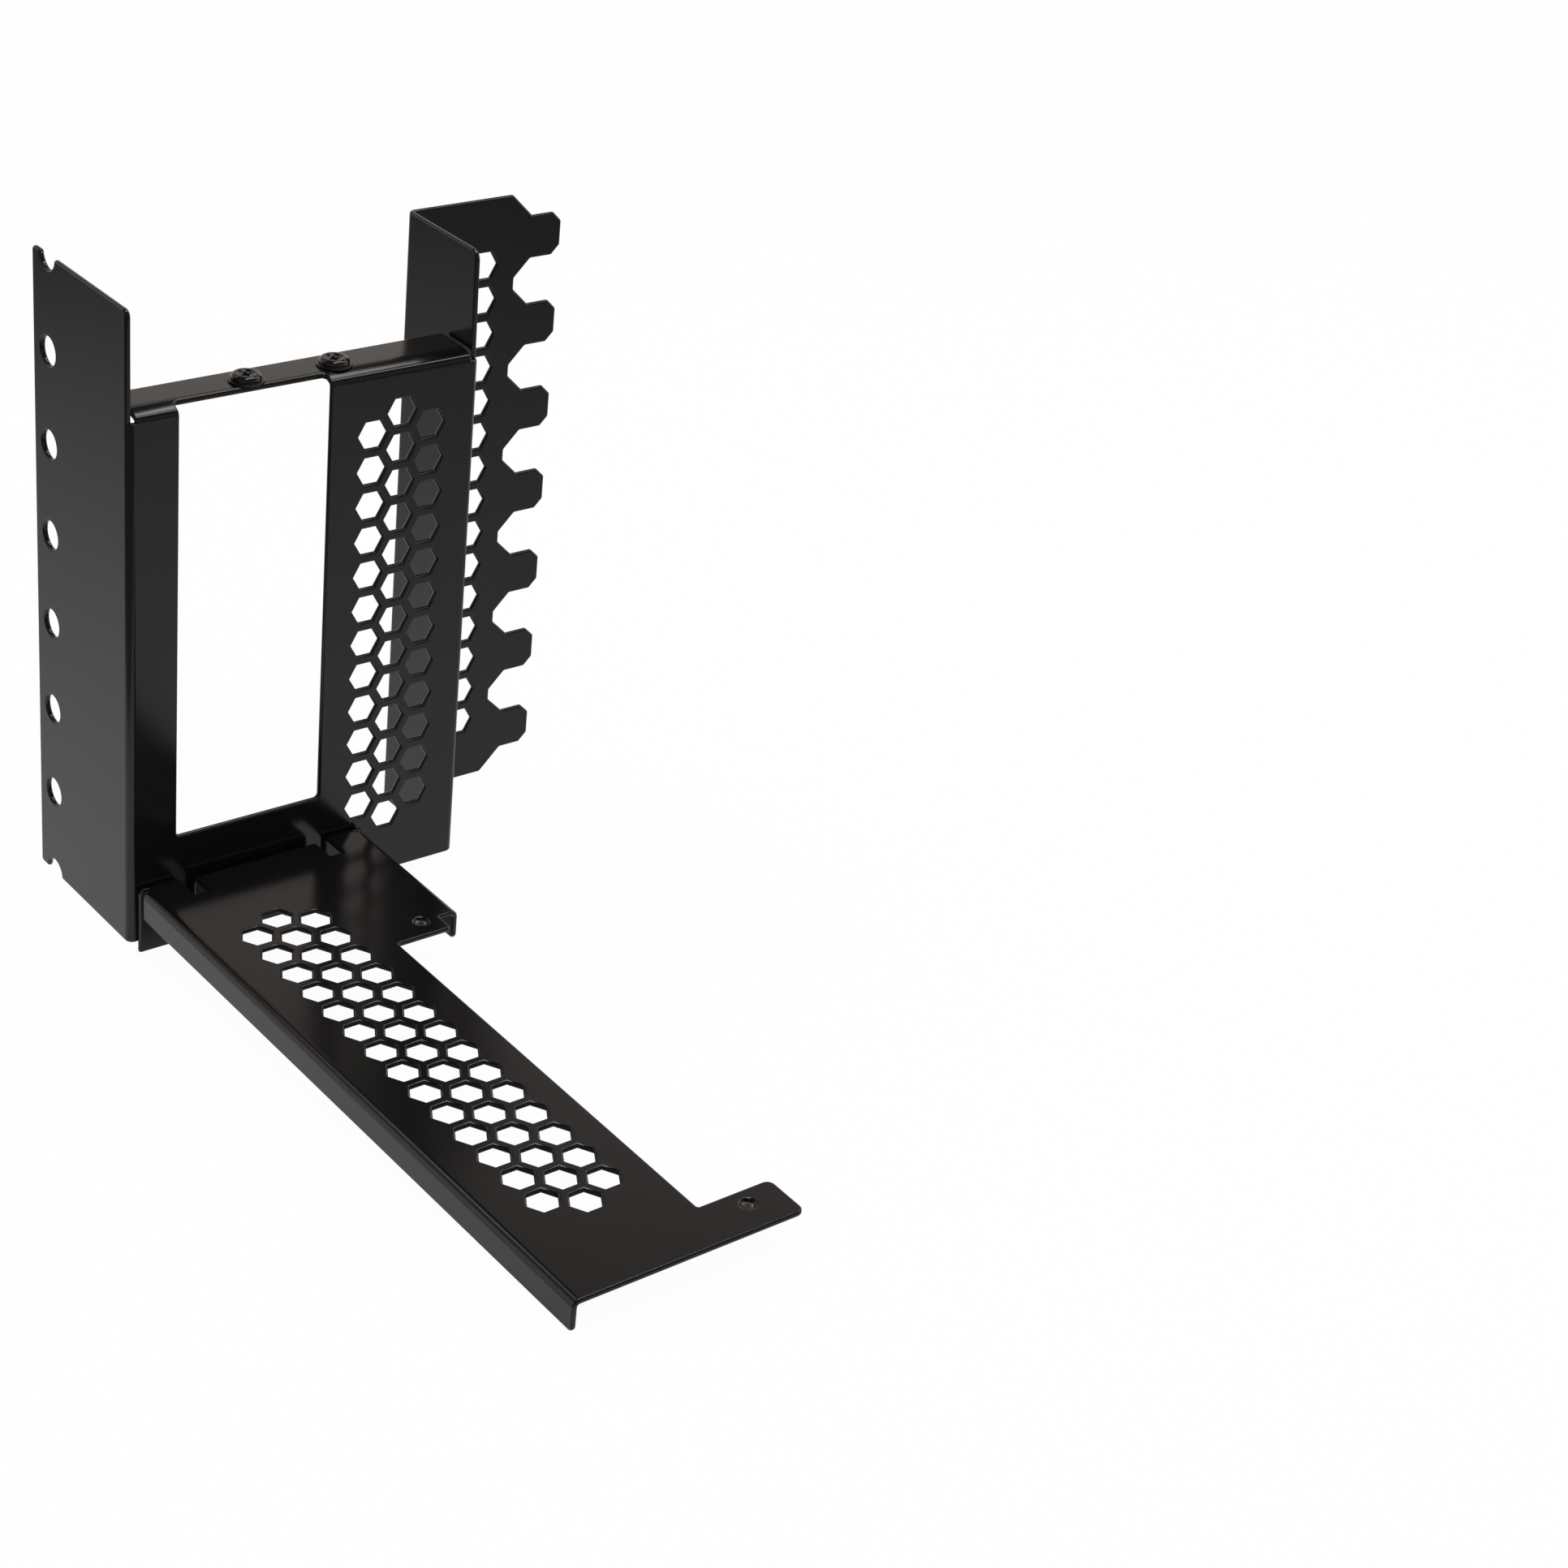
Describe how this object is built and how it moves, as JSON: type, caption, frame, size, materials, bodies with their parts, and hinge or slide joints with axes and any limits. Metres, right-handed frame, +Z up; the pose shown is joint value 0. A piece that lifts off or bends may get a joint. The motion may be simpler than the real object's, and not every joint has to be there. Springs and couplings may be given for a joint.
{
  "type": "vertical graphics card bracket",
  "caption": "Black folded-sheet bracket that fills a case's expansion slots and carries a graphics card upright: window frame with honeycomb vents, tongue plate and riser shelf.",
  "frame": {"origin": "middle of the row of case-screw holes, on the outer face of the case flange: halfway up the frame", "axes": "+X from the case flange to the tongue tips, +Y from the riser shelf to the case's back wall, +Z up the main plate"},
  "size_m": [0.1195, 0.1998, 0.1444],
  "materials": {
    "powder_coat": "satin",
    "black_zinc": "gloss"
  },
  "bodies": {
    "root": {"frame": "powder_coat", "riser_shelf": "powder_coat", "card_screws": "black_zinc"}
  },
  "joints": []
}
